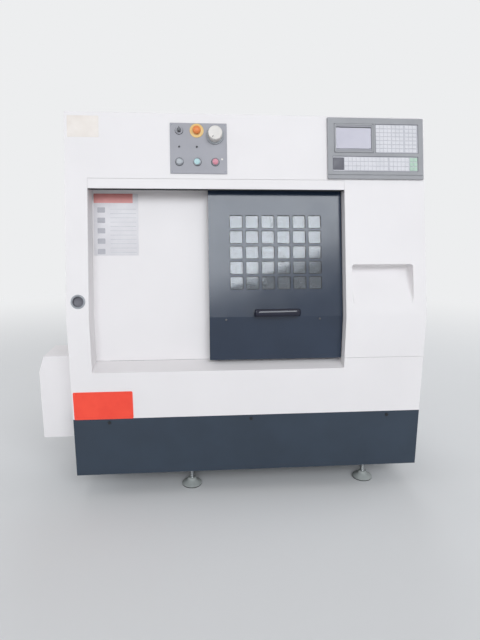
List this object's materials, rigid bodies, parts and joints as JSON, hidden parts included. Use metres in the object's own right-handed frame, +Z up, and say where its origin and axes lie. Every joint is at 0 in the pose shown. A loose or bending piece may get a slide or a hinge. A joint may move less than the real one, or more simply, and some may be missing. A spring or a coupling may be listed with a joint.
{
  "type": "cnc turning lathe",
  "caption": "Compact slant-bed turning lathe: leaning white front, sliding door with a grille window, control unit, chuck on a belt-driven spindle, gang tool slide.",
  "frame": {"origin": "centre of the bounding box's footprint, on the floor", "axes": "+Z up, -Y towards the operator, +X to the operator's right and along the spindle from the headstock to the tools"},
  "size_m": [1.77, 1.2094, 1.72],
  "materials": {
    "white_enamel": "satin baked enamel",
    "slate_enamel": "satin baked enamel",
    "grey_enamel": "satin enamel",
    "cast_paint": "painted casting",
    "ground_steel": "ground",
    "dark_steel": "blackened",
    "black_plastic": "moulded",
    "bezel_grey": "satin enamel",
    "screen": "clear cover over the display",
    "glass": "clear safety pane",
    "rubber": "moulded belt",
    "zinc": "zinc plated sheet",
    "stop_orange": "moulded",
    "wheel_white": "moulded",
    "reset_button": "moulded",
    "start_button": "moulded",
    "hold_button": "moulded",
    "tag_red": "engraved plate, left bare",
    "lamp_lens": "diffusing cover"
  },
  "bodies": {
    "machine": {"base_frame": "slate_enamel", "bed": "cast_paint", "button_panel": "grey_enamel", "chip_tray": "zinc", "control_screen": "screen", "control_unit": "bezel_grey", "coolant_pump": "dark_steel", "coolant_tank": "slate_enamel", "door_rail": "ground_steel", "electrical_cabinet": "white_enamel", "fixed_panel": "white_enamel", "foot_front_left": "dark_steel", "foot_front_right": "dark_steel", "foot_rear_left": "dark_steel", "foot_rear_right": "dark_steel", "front_cover": "white_enamel", "headstock": "cast_paint", "left_side_panel": "white_enamel", "left_splash_panel": "zinc", "motor_cover": "white_enamel", "rail_cover": "white_enamel", "rear_panel": "white_enamel", "right_side_panel": "white_enamel", "roof_panel": "white_enamel", "skirt_panel": "slate_enamel", "spindle_belt": "rubber", "spindle_motor": "slate_enamel", "tag_plate": "tag_red", "work_lamp": "lamp_lens", "z_motor": "slate_enamel", "z_rail_lower": "ground_steel", "z_rail_upper": "ground_steel"},
    "door": {"door_panel": "slate_enamel", "door_glass": "glass", "door_handle": "black_plastic", "door_hanger": "ground_steel"},
    "door_roller_left": {"roller_left": "dark_steel"},
    "door_roller_right": {"roller_right": "dark_steel"},
    "spindle": {"spindle": "ground_steel", "chuck_body": "ground_steel", "spindle_pulley": "ground_steel"},
    "jaw_1": {"chuck_jaw_1": "dark_steel"},
    "jaw_2": {"chuck_jaw_2": "dark_steel"},
    "jaw_3": {"chuck_jaw_3": "dark_steel"},
    "motor_pulley": {"motor_pulley": "ground_steel"},
    "saddle": {"saddle": "cast_paint", "x_motor": "slate_enamel"},
    "z_screw": {"z_screw": "ground_steel"},
    "cross_slide": {"cross_slide": "ground_steel", "tool_block_1": "dark_steel", "tool_block_2": "dark_steel", "tool_block_3": "dark_steel"},
    "x_screw": {"x_screw": "ground_steel"},
    "handwheel": {"handwheel": "wheel_white"},
    "key_switch": {"key_switch": "dark_steel"},
    "stop_button": {"stop_button": "stop_orange"},
    "reset_button": {"reset_button": "reset_button"},
    "start_button": {"start_button": "start_button"},
    "hold_button": {"hold_button": "hold_button"},
    "electrical_door": {"electrical_door": "white_enamel"}
  },
  "joints": [
    {"name": "door_slide", "type": "slide", "parent": "machine", "child": "door", "axis": [-1, 0, 0], "range_m": [0, 0.51]},
    {"name": "door_roller_left_spin", "type": "hinge", "parent": "door", "child": "door_roller_left", "pos_m": [-0.04, -0.36727, 1.46281], "axis": [0, 0.977, -0.2132], "range_deg": [-2100, 0]},
    {"name": "door_roller_right_spin", "type": "hinge", "parent": "door", "child": "door_roller_right", "pos_m": [0.45, -0.36727, 1.46281], "axis": [0, 0.977, -0.2132], "range_deg": [-2100, 0]},
    {"name": "spindle_spin", "type": "hinge", "parent": "machine", "child": "spindle", "pos_m": [-0.215, -0.1409, 1.03], "axis": [1, 0, 0], "continuous": true},
    {"name": "motor_pulley_spin", "type": "hinge", "parent": "machine", "child": "motor_pulley", "pos_m": [-0.485, -0.3789, 0.479], "axis": [1, 0, 0], "continuous": true},
    {"name": "jaw_1_slide", "type": "slide", "parent": "spindle", "child": "jaw_1", "axis": [0, 0, 1], "range_m": [-0.004, 0.004]},
    {"name": "jaw_2_slide", "type": "slide", "parent": "spindle", "child": "jaw_2", "axis": [0, -0.866, -0.5], "range_m": [-0.004, 0.004]},
    {"name": "jaw_3_slide", "type": "slide", "parent": "spindle", "child": "jaw_3", "axis": [0, 0.866, -0.5], "range_m": [-0.004, 0.004]},
    {"name": "z_slide", "type": "slide", "parent": "machine", "child": "saddle", "axis": [1, 0, 0], "range_m": [-0.12, 0.24]},
    {"name": "z_screw_spin", "type": "hinge", "parent": "machine", "child": "z_screw", "pos_m": [0.285, -0.01009, 0.89919], "axis": [1, 0, 0], "range_deg": [-4320, 8640]},
    {"name": "x_slide", "type": "slide", "parent": "saddle", "child": "cross_slide", "axis": [0, 0.7071, 0.7071], "range_m": [-0.05, 0.19]},
    {"name": "x_screw_spin", "type": "hinge", "parent": "saddle", "child": "x_screw", "pos_m": [0.315, -0.0412, 0.9303], "axis": [0, 0.7071, 0.7071], "range_deg": [-1800, 6840]},
    {"name": "handwheel_spin", "type": "hinge", "parent": "machine", "child": "handwheel", "pos_m": [-0.066, -0.44905, 1.62979], "axis": [0, 0.977, -0.2132], "continuous": true},
    {"name": "key_turn", "type": "hinge", "parent": "machine", "child": "key_switch", "pos_m": [-0.223, -0.44479, 1.64933], "axis": [0, 0.977, -0.2132], "range_deg": [0, 90]},
    {"name": "stop_button_press", "type": "slide", "parent": "machine", "child": "stop_button", "axis": [0, 0.977, -0.2132], "range_m": [0, 0.004], "stiffness_N_per_m": 2500},
    {"name": "reset_button_press", "type": "slide", "parent": "machine", "child": "reset_button", "axis": [0, 0.977, -0.2132], "range_m": [0, 0.004], "stiffness_N_per_m": 1000},
    {"name": "start_button_press", "type": "slide", "parent": "machine", "child": "start_button", "axis": [0, 0.977, -0.2132], "range_m": [0, 0.004], "stiffness_N_per_m": 1000},
    {"name": "hold_button_press", "type": "slide", "parent": "machine", "child": "hold_button", "axis": [0, 0.977, -0.2132], "range_m": [0, 0.004], "stiffness_N_per_m": 1000},
    {"name": "electrical_door_swing", "type": "hinge", "parent": "machine", "child": "electrical_door", "pos_m": [0.6913, 0.58455, 1], "axis": [0, 0, -1], "range_deg": [0, 110]}
  ],
  "couplings": [
    {"joint": "door_roller_left_spin", "follows": "door_slide", "rad_per_m": -71.429},
    {"joint": "door_roller_right_spin", "follows": "door_slide", "rad_per_m": -71.429},
    {"joint": "motor_pulley_spin", "follows": "spindle_spin", "ratio": 1.5},
    {"joint": "jaw_2_slide", "follows": "jaw_1_slide", "ratio": 1},
    {"joint": "jaw_3_slide", "follows": "jaw_1_slide", "ratio": 1},
    {"joint": "z_screw_spin", "follows": "z_slide", "rad_per_m": 628.32},
    {"joint": "x_screw_spin", "follows": "x_slide", "rad_per_m": 628.32}
  ]
}
